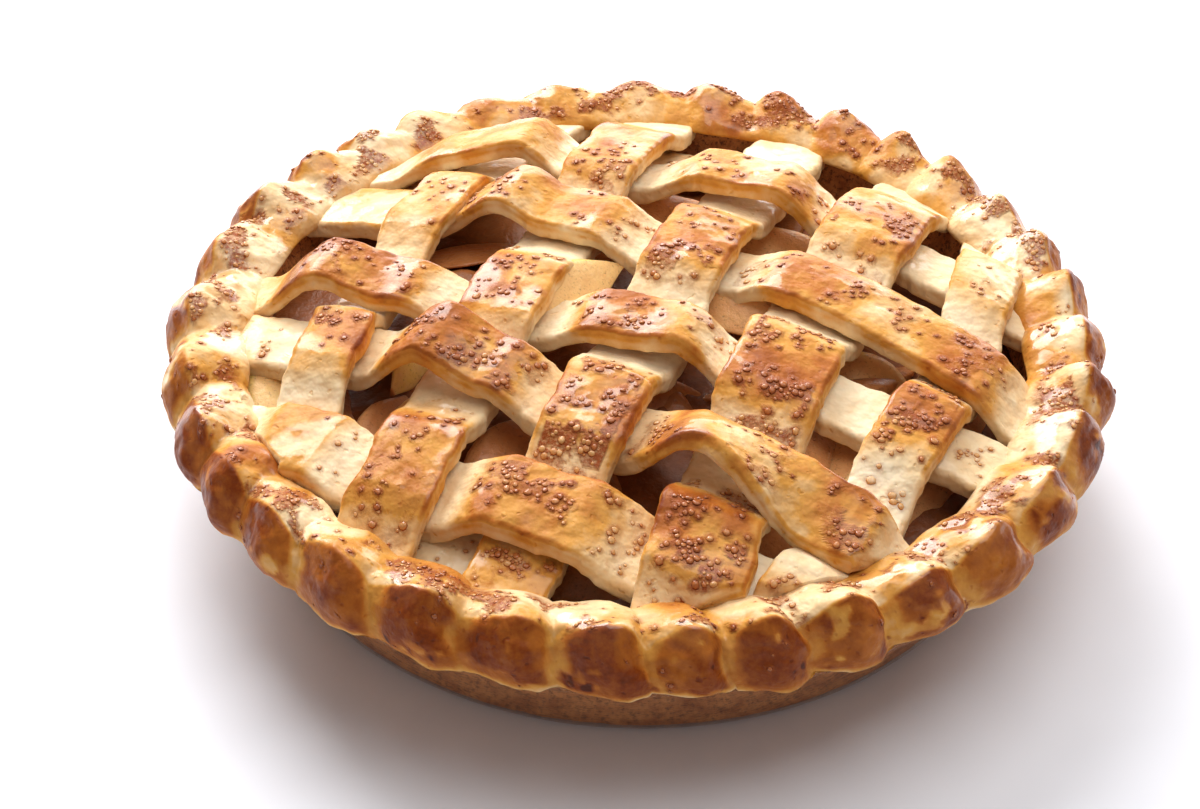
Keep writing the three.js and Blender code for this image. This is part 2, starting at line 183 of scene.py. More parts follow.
# Corners of the rim's section as [radius, height] in a groove and on a flute's crest, and how many
# points of the grid lie between each corner and the next.
RIM_SECTION = (
    ((106.4, 43.6), (105.2, 43.8), 4),      # inner edge, on the strips' ends
    ((107.0, 45.6), (105.9, 47.2), 5),      # brow
    ((110.5, 47.6), (109.9, 49.8), 6),      # inner slope
    ((114.6, 49.0), (114.2, 52.0), 7),
    ((118.2, 49.0), (118.2, 54.1), 6),
    ((120.8, 47.6), (121.5, 55.0), 6),      # crest
    ((122.6, 45.6), (124.2, 52.2), 7),      # outer face
    ((124.2, 43.2), (126.9, 48.8), 7),
    ((125.2, 40.8), (129.0, 44.4), 6),
    ((125.3, 38.9), (129.2, 40.3), 5),
    ((125.0, 37.1), (127.7, 36.6), 4),      # lip
    ((124.2, 36.8), (125.0, 36.1), 3),
    ((119.0, 35.8), (119.0, 35.8), 2),      # seat, on the flange
    ((113.2, 36.0), (113.2, 36.0), 3),
    ((113.2, 44.6), (113.2, 44.6), 3),      # throat, inside the lining
)
RIM_BROW, RIM_CREST, RIM_LIP = 1, 5, 10     # rows of the table
RIM_CREST_SPREAD = 0.5 * MM                 # how far some crests stand above others
RIM_LIP_DROP = 1.6 * MM                     # how far some lips hang below others
# Uneven pinching: times round the rim, drift in flutes, and where it peaks in degrees.
RIM_DRIFT = ((1, 0.276, 95), (2, 0.104, -118), (3, 0.131, 168), (4, 0.05, -150), (5, 0.095, 56))
RIM_FIRST_FLUTE = 0.283   # flutes counted at +X, before the drift
# The stretch whose flutes are pressed flat: middle and half length in radians, and share lost.
RIM_PRESSED = (1.8, 1.0, 0.5)
# Stretches of the rim that baked browner or paler: middle and half length in degrees, and amount.
RIM_BAKE = ((82, 46, 0.19), (-60, 26, 0.05), (-148, 14, 0.16), (-112, 22, 0.08), (180, 20, -0.12))
RIM_BROWNEST = 0.86       # only scorched places are browner
# Scorched places on the rim: direction in degrees, row of the section, reach in millimetres.
RIM_SCORCHES = (
    (-97.5, 8.7, 1.8), (-95.2, 9.1, 1.4), (-88.0, 8.8, 1.5),
    (-118.0, 8.6, 1.2), (-57.0, 7.6, 1.0), (-112.0, 8.8, 1.0), (-72.0, 8.2, 1.1),
    (64.5, 5.0, 2.2), (78.0, 5.0, 2.4), (89.5, 5.0, 2.2), (52.0, 5.6, 1.6), (118.0, 5.3, 1.8),
    (140.0, 5.6, 1.6), (20.0, 7.4, 1.2), (-28.0, 8.0, 1.4), (-20.0, 7.4, 1.2), (8.0, 6.4, 1.4),
)

# Height over the dome of a strip that passes over another, and of one that passes under.
OVER = 3.55
UNDER = -3.55
# angle is a strip's direction from +X and offset its end's distance from the centre, to the left
# of that direction; bow is how much further out its middle lies. rise is its height over the dome
# at each crossing with the other family. start and end cut a strip short, and level is the height
# over the dome of one that crosses no other. The rest lists humps as distance along, half length
# and amount: arch for free height, turn for a twist in degrees, bake for browner and paler
# stretches, and sugar for clusters by number of grains.
RISING_STRIPS = (
    {"angle": 69, "offset": 62, "bow": 9, "width": 18, "rise": (UNDER, OVER, UNDER, 4.2, UNDER),
     "bake": ((-44, 8, 0.14), (15, 30, 0.06), (-66, 12, -0.12)),
     "sugar": ((-44, 9, 24), (-20, 6, 4), (20, 20, 8))},
    {"angle": 69.5, "offset": 31, "bow": 0, "width": 21.5, "rise": (4.6, UNDER, 4, UNDER, OVER),
     "bake": ((-85, 34, 0.20), (-14, 16, 0.06), (50, 16, 0.10)),
     "sugar": ((-75, 28, 16), (0, 12, 20), (-20, 8, 12), (52, 14, 26), (-100, 12, 8))},
    {"angle": 68, "offset": -8, "bow": 0, "width": 22.5, "rise": (UNDER, 4.4, UNDER, 3.8, UNDER),
     "bake": ((-58, 18, 0.16), (18, 8, 0.12), (-14, 14, -0.10), (-100, 10, 0.40)),
     "sugar": ((-60, 16, 42), (-40, 8, 14), (14, 10, 24), (-93, 6, 30), (-102, 8, 8), (32, 10, 8))},
    {"angle": 68, "offset": -51, "bow": 5, "width": 26, "rise": (4.2, UNDER, 4, UNDER, OVER),
     "arch": ((-66, 13, 3.5),),
     "bake": ((-88, 32, 0.18), (-22, 20, 0.10), (56, 14, 0.08), (-50, 6, -0.10)),
     "sugar": ((-88, 22, 78), (-66, 10, 20), (-30, 14, 44), (-5, 10, 28), (58, 12, 28), (35, 10, 8))},
    {"angle": 66, "offset": -77, "bow": -8, "width": 18, "rise": (OVER, UNDER, OVER, UNDER, 1),
     "bake": ((-45, 18, -0.14), (-15, 12, 0.12), (45, 18, -0.12), (-88, 12, 0.24)),
     "sugar": ((-84, 8, 8), (-12, 10, 26), (-26, 8, 14), (4, 8, 8), (-42, 8, 4), (52, 8, 4))},
)
FALLING_STRIPS = (
    {"angle": -20.5, "offset": 48, "bow": 16, "width": 20, "rise": (4.6, UNDER, 5.4, UNDER, UNDER),
     "arch": ((-56, 24, 4.5), (24, 20, 2.5)),
     "bake": ((-10, 16, -0.05), (25, 14, 0.05), (-42, 20, -0.08), (-80, 16, 0.10)),
     "sugar": ((-30, 10, 8), (0, 20, 10), (30, 12, 10), (60, 10, 6))},
    {"angle": -25.5, "offset": 15, "bow": 10, "width": 22, "rise": (UNDER, OVER, UNDER, 4, 3.8),
     "arch": ((-54, 18, 8),),
     "bake": ((-62, 18, 0.12), (40, 14, 0.10), (-30, 14, 0.02), (92, 10, 0.06), (-90, 16, 0.32)),
     "sugar": ((-60, 14, 20), (-20, 20, 10), (25, 12, 10), (60, 20, 16), (90, 12, 14))},
    {"angle": -19, "offset": -20, "bow": 4, "width": 18.5, "rise": (4.4, UNDER, 4.4, UNDER, UNDER),
     "arch": ((-84, 20, 6), (20, 14, 2)), "turn": ((24, 22, -12),),
     "bake": ((-75, 20, 0.22), (-98, 10, 0.20), (0, 14, 0.24), (34, 8, -0.08), (62, 14, -0.06)),
     "sugar": ((-80, 10, 12), (-60, 10, 6), (2, 14, 24), (24, 8, 8), (60, 8, 6), (92, 10, 10))},
    {"angle": -27, "offset": -52, "bow": 5, "width": 20, "rise": (UNDER, 4.4, UNDER, 6.5, 4),
     "arch": ((-36, 18, 6.5), (48, 20, 3.5)), "turn": ((48, 24, -32), (76, 14, 16)),
     "bake": ((-28, 18, 0.20), (-4, 10, 0.10), (36, 12, 0.20), (60, 10, -0.14), (82, 8, 0.12),
              (-92, 10, 0.16)),
     "sugar": ((-76, 8, 8), (-34, 12, 30), (-14, 12, 18), (30, 12, 14), (58, 10, 14), (84, 8, 14))},
    {"angle": -22.5, "offset": -80, "bow": -4, "width": 22, "end": 66,
     "rise": (1.6, UNDER, 3.8, UNDER, UNDER),
     "bake": ((-62, 12, 0.16), (-30, 12, -0.10), (4, 18, 0.20), (30, 12, 0.12)),
     "sugar": ((-55, 14, 3), (2, 14, 26), (22, 12, 14), (42, 8, 6))},
)
OFFCUTS = (
    {"name": "strip_offcut_near", "angle": -20, "offset": -94, "bow": 0, "width": 15,
     "start": -34, "end": 4, "level": -9.2,
     "bake": ((-18, 20, 0.04),),
     "sugar": ((-10, 12, 6),)},
    {"name": "strip_offcut_far", "angle": -20, "offset": 89, "bow": 0, "width": 15,
     "start": -36, "end": 14, "level": -9.6,
     "bake": ((-10, 20, 0.05),),
     "sugar": ((-10, 20, 6),)},
)
# What turns the amounts of humps into metres and radians.
HUMP_UNITS = {"arch": MM, "turn": math.radians(1), "bake": 1, "sugar": 1}
PLATEAU = 0.26            # level part of each span of a strip, next to a crossing
BEYOND_RIM = 8 * MM       # past a strip's reach, where it has dropped to the rim's inside

# Apple slices as x, y, direction, lean, length, depth, thickness, how far the top lies below the
# weave's middle, and tone from pale to dark. The last one stands up sharp between the strips.
SHOWN_SLICES = (
    (-29, 74, -18, 24, 46, 19, 6.5, 7.6, 0.25), (-49, 37, 8, -18, 46, 19, 6.5, 7.6, 0.62),
    (-34, -49, 60, 20, 46, 19, 6.5, 8.6, 0.62), (-66, -36, 75, 26, 38, 17, 6, 9.2, 0.55),
    (27, 4, -24, 20, 38, 18, 8, 0.2, 0.3), (40, 44, -15, 18, 46, 19, 6.5, 7.6, 0.3),
    (62, -15, -24, 26, 46, 19, 6.5, 7.6, 0.3), (3, -31, 20, 30, 46, 19, 6.5, 8.4, 0.62),
    (82, -27, 62, 18, 46, 19, 6.5, 7.6, 0.4), (-97, -17, 75, 14, 34, 17, 7, 4.8, 0.12),
    (64, -56, 35, 22, 46, 19, 6.5, 7.6, 0.35), (-1, -84, 5, 24, 46, 19, 6.5, 7.6, 0.6),
    (37, -72, 50, 18, 46, 19, 6.5, 7.6, 0.45), (48, -44, 80, 24, 46, 19, 6.5, 7.6, 0.45),
    (7, 60, 25, 20, 46, 19, 6.5, 7.6, 0.4), (-59, -12, 62, 60, 30, 14, 4, 2.5, 0.08),
    (-17.5, 4.0, 56, 36, 46, 17, 5, -4.4, 0.16),
)
SHARP_SLICE = len(SHOWN_SLICES) - 1
BLUNT_TAPER, SHARP_TAPER = 0.7, 1.5         # powers that shape a slice's tips
BURIED_SLICES = 26        # more of them, deeper in the syrup
BURIED_REACH = 88         # radius over which they are spread
SUNFLOWER_TURN = 2.4      # radians from one to the next
SLICE_GRID = (28, 22)     # columns and rows of a slice

# Grains of sugar: least radius and the span above it, and how many are drawn on the rim and for
# each grain of a strip's cluster. Those that fall too close together are dropped.
STRIP_GRAIN_SIZES = (0.42, 0.62)
RIM_GRAIN_SIZES = (0.3, 0.56)
RIM_DRAWS = 1500
STRIP_DRAWS = 2
GRAIN_GAP, CLUSTER_GAP = 0.75, 0.7          # least distance as a share of both radii
STAIN_FULL, STAIN_END = 1.2, 2.4            # reach of caramel round a grain, in its radii
STRIP_END = 13 * MM       # stretch at a strip's end where nothing lies over it
COVERED = -2.6 * MM       # height over the dome below which another strip lies over it
DENSE = 2.6               # grains for each millimetre of half length that make a full crust
EDGE_WANDER = ((14, 0, 0.6), (5, 1, 0.35), (1.8, 5, 0.24))  # length, step of the seed, amount

HUB = 0.5 * MM            # radius of a floor's first ring, which a fan closes
LINING_TOP = 45.5 * MM    # inside the rim
INTO_GLASS = 0.25 * MM    # how far the lining reaches into the glass, so that no gap shows
INTO_SYRUP = 0.3 * MM     # how far it reaches into the syrup


# ---- Noise and easing ----

def smooth(share):
    """Eases from 0 to 1, level at both ends: 3t² - 2t³ of the clamped share."""
    t = np.clip(share, 0, 1)
    return t * t * (3 - 2 * t)


def blend(start, end, share):
    """A straight line from start at share 0 to end at share 1."""
    return start + (end - start) * share


def hump(distance, centre, half, top=1.0):
    """Eases up from 0 at the half length away from the centre. A top above 1 makes it wider and
    level on top."""
    return smooth(top - np.abs(distance - centre) / half)


def humps(rows, distance, top=1.0):
    """The sum of a table's humps, each given by its centre, half length and amount."""
    return sum(amount * hump(distance, centre, half, top) for centre, half, amount in rows)


def value_noise(points, size, seed=0):
    """Smooth random values from -1 to 1. Each corner of a cube lattice of the given size has a
    value from a hash of its place, and a point blends its eight corners with an eased share."""
    scaled = points / size
    cell = np.floor(scaled).astype(np.int64)
    share = smooth(scaled - cell)
    total = np.zeros(points.shape[:-1])
    for corner in product((0, 1), repeat=3):
        place = (cell + corner) & 0xFFFF
        mixed = place[..., 0] * 73856093 ^ place[..., 1] * 19349663 ^ place[..., 2] * 83492791
        mixed = (mixed + seed * 2654435761) & 0xFFFFFFFF
        for shift, factor in ((15, 2246822519), (13, 3266489917)):
            mixed = ((mixed ^ (mixed >> shift)) * factor) & 0xFFFFFFFF
        value = ((mixed ^ (mixed >> 16)) & 0xFFFF) / 32767.5 - 1
        total += value * np.prod(np.where(corner, share, 1 - share), axis=-1)
    return total


def layered_noise(points, size, seed=0, layers=3):
    """Value noise summed over layers, each half the size and half the strength of the last."""
    return sum(value_noise(points, size / 2 ** i, seed + i) / 2 ** i for i in range(layers))


# ---- Grids to meshes ----

def stacked(*parts):
    """Arrays or numbers side by side along a new last axis."""
    return np.stack(np.broadcast_arrays(*parts), -1)


def polar(radius, angle, height):
    """Points from a radius, an angle round the Z axis and a height."""
    return stacked(radius * np.cos(angle), radius * np.sin(angle), height)


def skin(points, ring=False):
    """Vertices and faces over a grid of points [row, column]. Columns close on themselves. On a
    ring the rows do too; otherwise a fan to its middle closes the first row and the last."""
    rows, columns = points.shape[:2]
    row = np.arange(rows if ring else rows - 1)[:, None] * columns
    after = (row + columns) % (rows * columns)
    column = np.arange(columns)
    beside = (column + 1) % columns
    vertices = points.reshape(-1, 3)
    quads = stacked(row + column, row + beside, after + beside, after + column)
    faces = quads.reshape(-1, 4).tolist()
    if not ring:
        start, last = len(vertices), (rows - 1) * columns
        faces += stacked(beside, column, start).tolist()
        faces += stacked(column + last, beside + last, start + 1).tolist()
        vertices = np.concatenate([vertices, points[[0, -1]].mean(1)])
    return vertices, faces


def over_skin(values, ring=False):
    """A value for each vertex that skin makes from a grid of values."""
    flat = values.reshape(-1)
    return flat if ring else np.concatenate([flat, values[[0, -1]].mean(1)])


def grid_normals(points, ring=False):
    """Unit normals of a grid: the cross product of its central differences along rows and columns,
    turned to point away from each row's middle."""
    across = np.roll(points, -1, 1) - np.roll(points, 1, 1)
    if ring:
        along = np.roll(points, -1, 0) - np.roll(points, 1, 0)
        middle = points.mean(0, keepdims=True)
    else:
        along = np.gradient(points, axis=0)
        middle = points.mean(1, keepdims=True)
    normals = np.cross(across, along)
    normals /= np.linalg.norm(normals, axis=-1, keepdims=True) + 1e-12
    outward = np.sum(normals * (points - middle))
    return normals if outward > 0 else -normals


def linked(name, data):
    """A new object in the scene, with a mesh, a light or a camera as its data."""
    made = bpy.data.objects.new(name, data)
    bpy.context.scene.collection.objects.link(made)
    return made


def add_piece(name, grids, material, slot, replaced, ring=False, **layers):
    """Joins the skins of grids of points into one piece that rides on the pie's only body. A layer
    holds a grid of values for each grid of points, under the name that the material reads."""
    parts = [skin(points, ring) for points in grids]
    starts = np.cumsum([0] + [len(vertices) for vertices, _ in parts])
    vertices = np.concatenate([vertices for vertices, _ in parts])
    faces = [[index + int(start) for index in face]
             for (_, part_faces), start in zip(parts, starts) for face in part_faces]
    mesh = bpy.data.meshes.new(name)
    mesh.from_pydata(vertices.tolist(), [], faces)
    mesh.validate()
    mesh.shade_smooth()
    for layer, grids_of_values in layers.items():
        values = np.concatenate([over_skin(grid, ring) for grid in grids_of_values])
        attribute = mesh.attributes.new(layer, "FLOAT", "POINT")
        attribute.data.foreach_set("value", values.astype(np.float32))
    mesh.update()
    if signed_volume(mesh) < 0:
        mesh.flip_normals()
    mesh.materials.append(material)
    piece = linked(name, mesh)
    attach(piece, "root")
    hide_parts(*replaced)


def signed_volume(mesh):
    """Volume inside a closed mesh, below zero if its faces point in: the sum over triangles of
    the triple product of their corners, over six."""
    corners = np.empty(len(mesh.vertices) * 3)
    mesh.vertices.foreach_get("co", corners)
    mesh.calc_loop_triangles()
    indices = np.empty(len(mesh.loop_triangles) * 3, np.int32)
    mesh.loop_triangles.foreach_get("vertices", indices)
    a, b, c = corners.reshape(-1, 3)[indices.reshape(-1, 3)].transpose(1, 0, 2)
    return float(np.sum(a * np.cross(b, c)) / 6)


def smooth_loop(corners, counts):
    """A Catmull-Rom curve through a closed loop of corners. counts gives how many points lie from
    each corner to the next. Returns the points and their place counted in corners."""
    corners = np.asarray(corners, float)
    total = len(corners)
    place = np.concatenate([i + np.arange(n) / n for i, n in enumerate(counts)])
    index = np.floor(place).astype(int)
    t = (place - index)[:, None]
    before, here, after, beyond = (corners[(index + shift) % total] for shift in (-1, 0, 1, 2))
    curve = 0.5 * (2 * here + (after - before) * t
                   + (2 * before - 5 * here + 4 * after - beyond) * t ** 2
                   + (3 * here - before - 3 * after + beyond) * t ** 3)
    return curve, place


# ---- Materials ----

class Wire:
    """A shader socket that takes part in expressions: each operation adds its Math node."""

    def __init__(self, shader, socket):
        self.shader = shader
        self.socket = socket

    def _math(self, operation, *values):
        return self.shader.node("ShaderNodeMath", {"operation": operation},
                                dict(enumerate(values)))

    def __add__(self, other):
        return self._math("ADD", self, other)

    __radd__ = __add__

    def __sub__(self, other):
        return self._math("SUBTRACT", self, other)

    def __rsub__(self, other):
        return self._math("SUBTRACT", other, self)

    def __mul__(self, other):
        return self._math("MULTIPLY", self, other)

    __rmul__ = __mul__

    def clamped(self):
        return self._math("MINIMUM", self._math("MAXIMUM", self, 0.0), 1.0)


class Shader:
    """A material whose nodes are written as expressions."""

    def __init__(self, name, **constants):
        self.material = bpy.data.materials.new(name)
        self.material.use_nodes = True
        self.tree = self.material.node_tree
        self.surface = self.tree.nodes["Principled BSDF"]
        self.finish(**constants)

    def node(self, kind, choices=None, sockets=None, output=0):
        """Adds a node, sets its choices, feeds its sockets values or wires, and returns an output."""
        made = self.tree.nodes.new(kind)
        for choice, value in (choices or {}).items():
            if choice == "stops":
                self._set_stops(made.color_ramp, value)
            else:
                setattr(made, choice, value)
        for socket, value in (sockets or {}).items():
            self._feed(made.inputs[socket], value)
        return Wire(self, made.outputs[output])

    def _set_stops(self, ramp, stops):
        while len(ramp.elements) < len(stops):
            ramp.elements.new(1.0)
        for element, (position, tint) in zip(ramp.elements, stops):
            element.position = position
            element.color = (*tint, 1.0)

    def _feed(self, socket, value):
        if isinstance(value, Wire):
            self.tree.links.new(value.socket, socket)
        elif socket.type == "RGBA":
            socket.default_value = (*value, 1.0)
        else:
            socket.default_value = value

    def finish(self, **values):
        """Gives the surface's sockets values or wires and returns the material."""
        for socket, value in values.items():
            self._feed(self.surface.inputs[socket.replace("_", " ")], value)
        return self.material

    def layer(self, name):
        """A value that the mesh holds for each vertex."""
        return self.node("ShaderNodeAttribute", {"attribute_name": name}, output="Fac")

    def noise(self, size, detail=2.0, roughness=0.5):
        """Noise from 0 to 1 with lumps of about the given size."""
        place = self.node("ShaderNodeTexCoord", output="Object")
        return self.node("ShaderNodeTexNoise", None, {
            "Vector": place, "Scale": 1 / size, "Detail": detail, "Roughness": roughness})

    def ramp(self, value, stops):
        """The colour at a value from 0 to 1 along stops."""
        return self.node("ShaderNodeValToRGB", {"stops": stops}, {0: value})

    def mix(self, share, first, second):
        """A colour that goes from the first to the second as share goes from 0 to 1."""
        return self.node("ShaderNodeMix", {"data_type": "RGBA"},
                         {0: share, 6: first, 7: second}, output=2)

    def bump(self, height, depth):
        """Height from 0 to 1 as relief of the given depth in metres."""
        return self.node("ShaderNodeBump", None, {"Height": height, "Distance": depth})


def pastry(name, roughness, shine):
    """Baked shortcrust. The browning layer picks a colour from raw to burnt, mottled at two scales
    and dotted with pits. The stain layer covers it with caramel. Blisters, crumb and caramel stand
    up, and egg wash shines where the gloss layer says."""
    tint = settings().colour
    shader = Shader(name, Subsurface_Weight=0.06, Subsurface_Radius=(1.0, 0.5, 0.22),
                    Subsurface_Scale=1.5 * MM, IOR=1.45, Specular_IOR_Level=0.17,
                    Coat_Roughness=0.13)
    mottle = shader.noise(7 * MM, 5.0, 0.58) - 0.5
    fine = shader.noise(1.3 * MM, 4.0, 0.66) - 0.5
    pits = (shader.noise(2.3 * MM, 1.0) * 9.0 - 6.1).clamped()
    even = shader.layer("browning")
    browning = (even + mottle * 0.34 + fine * even * 0.2 + pits * 0.1).clamped()
    baked = shader.ramp(browning, (
        (0.0, tint.raw), (0.22, tint.pale), (0.46, tint.golden), (0.66, tint.brown),
        (0.88, tint.dark), (1.0, tint.burnt)))
    caramel = shader.layer("stain")
    stain = (caramel * (fine * 2.6 + 1.0)).clamped()
    coloured = shader.mix(stain, baked, CARAMEL)
    blisters = shader.noise(3.6 * MM, 1.8, 0.5)
    crumb = shader.noise(0.8 * MM, 3.0, 0.6)
    relief = blisters + crumb * (browning * 0.1 + caramel * 0.3) + stain * 0.3 - pits * 0.2
    rough = (roughness + 0.2 - browning * 0.16 - caramel * 0.1 + fine * 0.3).clamped()
    return shader.finish(Base_Color=coloured, Roughness=rough,
                         Normal=shader.bump(relief, 1.0 * MM),
                         Coat_Weight=(shader.layer("gloss") * shine).clamped())


@cache
def rim_pastry():
    """The rim's pastry, which is smoother and shines more."""
    return pastry("rim_pastry", roughness=0.34, shine=0.95)


@cache
def strip_pastry():
    """The strips' pastry."""
    return pastry("lattice_pastry", roughness=0.4, shine=0.7)


@cache
def lining_pastry():
    """Pastry baked against glass: tan mottled with brown, and dark flecks."""
    shader = Shader("lining_pastry", IOR=1.45)
    patches = shader.noise(7 * MM, 5.0, 0.7)
    flecks = (shader.noise(1.4 * MM, 3.0, 0.7) * 7.0 - 3.5).clamped()
    mottled = (patches * 3.2 - 1.3).clamped()
    base = shader.mix(mottled, settings().colour.lining, LINING_MOTTLE)
    coloured = shader.mix(flecks * 0.85, base, LINING_FLECKS)
    return shader.finish(Base_Color=coloured, Roughness=0.55 + patches * 0.15,
                         Normal=shader.bump(shader.noise(1.2 * MM, 3.0, 0.6), 0.4 * MM))


@cache
def clear_glass():
    """Clear pressed glass with a faint green body."""
    shader = Shader("clear_glass", Base_Color=(0.9, 0.96, 0.93), Transmission_Weight=1.0,
                    IOR=1.47, Alpha=0.3, Specular_IOR_Level=0.5)
    smears = shader.noise(30 * MM, 2.0)
    return shader.finish(Roughness=smears * 0.06)


@cache
def apple_flesh():
    """Cooked apple, wet: the tone layer picks a colour from yellow skin over pale flesh to
    caramel, and cinnamon specks lie on it."""
    shader = Shader("apple_flesh", Subsurface_Weight=0.2, Subsurface_Radius=(1.0, 0.6, 0.25),
                    Subsurface_Scale=2 * MM, IOR=1.4)
    fibres = shader.noise(5 * MM, 4.0, 0.6) - 0.5
    tone = (shader.layer("tone") + fibres * 0.24).clamped()
    specks = (shader.noise(0.9 * MM, 2.0, 0.6) * 6.0 - 3.5).clamped()
    coloured = shader.mix(specks * 0.5, shader.ramp(tone, APPLE_TONES), CINNAMON)
    return shader.finish(Base_Color=coloured, Roughness=0.28 + specks * 0.2,
                         Normal=shader.bump(shader.noise(1.5 * MM, 3.0, 0.6), 0.35 * MM))


@cache
def syrup():
    """Syrup, thick and wet, with dark clouds."""
    shader = Shader("syrup", IOR=1.4)
    cloud = shader.noise(6 * MM, 4.0, 0.6)
    coloured = shader.mix(cloud, settings().colour.syrup, SYRUP_CLOUDS)
    return shader.finish(Base_Color=coloured, Roughness=0.3 + cloud * 0.25,
                         Normal=shader.bump(shader.noise(2.4 * MM, 3.0, 0.6), 0.6 * MM))


@cache
def caramel_sugar():
    """Coarse sugar that melted a little: the tone layer runs from pale crystal over amber to
    caramel, and on each grain it also holds a painted highlight on top and painted shade at
    the foot."""
    shader = Shader("caramel_sugar", Transmission_Weight=0.25, IOR=1.45, Roughness=0.2,
                    Specular_IOR_Level=0.45)
    tone = (shader.layer("tone") + (shader.noise(0.5 * MM) - 0.5) * 0.25).clamped()
    return shader.finish(Base_Color=shader.ramp(tone, SUGAR_TONES))


# ---- The dish and its lining ----

def basin(inset, top, floor_points=8, corner_points=10, wall_points=12):
    """Radius and height from the axis out along the floor, round the foot and up the wall. The
    wall is a straight line leaning out, the foot a quadratic curve from floor to wall, and inset
    moves both in from the glass's outer face."""
    dish = settings().dish
    slope = math.hypot(1, dish.wall_lean)

    def wall(height):
        return dish.foot_radius + dish.wall_lean * height - inset * slope

    start = np.array([wall(inset) - dish.corner, inset])
    middle = np.array([wall(inset), inset])
    end = np.array([wall(inset + dish.corner), inset + dish.corner])
    t = np.linspace(0, 1, corner_points)[:, None]
    foot = start * (1 - t) ** 2 + middle * 2 * t * (1 - t) + end * t ** 2
    heights = np.linspace(end[1], top, wall_points)[1:]
    rise = stacked(wall(heights), heights)
    floor = np.linspace([HUB, inset], start, floor_points)[:-1]
    return np.concatenate([floor, foot, rise])


def turned(profile, columns):
    """Turns radius and height round the Z axis, in as many steps as columns."""
    angles = np.linspace(0, 2 * np.pi, columns, endpoint=False)
    return polar(profile[:, 0, None], angles, profile[:, 1, None])


def dish_points():
    """The glass turned as one profile: outside, a rounded flange, and inside back to the axis."""
    dish = settings().dish
    outside = basin(0, dish.flange_top - dish.flange_thickness)
    half = dish.flange_thickness / 2
    turn = np.linspace(-np.pi / 2, np.pi / 2, 9)
    flange = stacked(dish.flange_radius - half + half * np.cos(turn),
                     dish.flange_top - half + half * np.sin(turn))
    inside = basin(dish.glass, dish.flange_top)[::-1]
    return turned(np.concatenate([outside, flange, inside]), columns=192)


def lining_points():
    """Pastry between the glass and the syrup, which reaches just into both: a basin's outside and
    inside, moved along their normals by noise."""
    dish = settings().dish
    outside = basin(dish.glass - INTO_GLASS, LINING_TOP, wall_points=30)
    inside = basin(dish.glass + dish.lining + INTO_SYRUP, LINING_TOP, wall_points=16)[::-1]
    points = turned(np.concatenate([outside, inside]), columns=256)
    lumps = 0.15 * MM * layered_noise(points, 4 * MM, 7)
    return points + grid_normals(points) * lumps[..., None]


# ---- The fluted rim ----

def flute_count(angle):
    """Place round the rim counted in flutes: an even count plus a sum of cosines."""
    drift = sum(amount * np.cos(times * angle - math.radians(peak))
                for times, amount, peak in RIM_DRIFT)
    return settings().rim.flutes * angle / (2 * np.pi) + RIM_FIRST_FLUTE + drift


def flute_angle(count, steps=12):
    """The angle at which the count reaches a value, by Newton steps."""
    per_radian = settings().rim.flutes / (2 * np.pi)
    angle = (count - RIM_FIRST_FLUTE) / per_radian
    for _ in range(steps):
        angle = angle - (flute_count(angle) - count) / per_radian
    return angle


def flute_height(count):
    """0 in a groove and up to 1 on a crest: the cosine's size, with its top moved to one side,
    times each flute's own size, and lower along the pressed stretch."""
    rim = settings().rim
    flute = np.floor(count + 0.5)
    leaning = count - rim.skew * np.cos(np.pi * (count - flute))
    size = 1 - rim.swing * (0.5 + 0.5 * np.sin(2.4 * flute + 0.8))
    pressed = humps([RIM_PRESSED], flute_angle(flute % rim.flutes))
    return np.abs(np.cos(np.pi * leaning)) * size * (1 - pressed)


@cache
def rim_surface():
    """Points, normals, lobes and rows of the rim. Each column blends the groove's section with the
    flute's by how far it stands on a flute. Grooves slant from brow to lip and wander, each
    flute's crest and lip have their own height, and folds and lumps of noise move the points
    along their normals."""
    rim = settings().rim
    groove_corners, flute_corners, counts = zip(*RIM_SECTION)
    groove, rows = smooth_loop(groove_corners, counts)
    flute, _ = smooth_loop(flute_corners, counts)
    row = rows[:, None]
    column = np.arange(rim.flutes * rim.columns) / rim.columns + 0.5
    wander = 0.10 * value_noise(stacked(row / 2.2, column * 0.9, 0.0), 1.0, 3)
    lobes = flute_height(column + wander * smooth(np.sin(np.pi * row / 12)))
    slant = (np.minimum(row, RIM_LIP) - RIM_BROW) / (RIM_LIP - RIM_BROW) - 0.5
    angle = flute_angle(column) + rim.slant * slant
    section = blend(groove[:, None], flute[:, None], lobes[..., None]) * MM
    shown = smooth((11.5 - row) / 1.5) * smooth(row)    # 0 on the seat and in the throat
    own = value_noise(stacked(np.round(column), 0.0, 0.0), 1.0, 9)
    crest = hump(row, RIM_CREST, 3)
    lowered = RIM_LIP_DROP * smooth((row - 8) / 2) * shown * (0.5 + 0.5 * own)
    height = section[..., 1] + RIM_CREST_SPREAD * own * shown * crest - lowered
    points = polar(section[..., 0], angle, height)
    normals = grid_normals(points, ring=True)
    folds = 1 - 2.2 * np.sqrt(layered_noise(points, 5 * MM, 25, 2) ** 2 + 0.015)
    lumps = (layered_noise(points, 9 * MM, 21, 2) * 0.6 + folds * 0.28) * rim.lumps * shown
    points = points + normals * lumps[..., None]
    return points, grid_normals(points, ring=True), lobes, rows


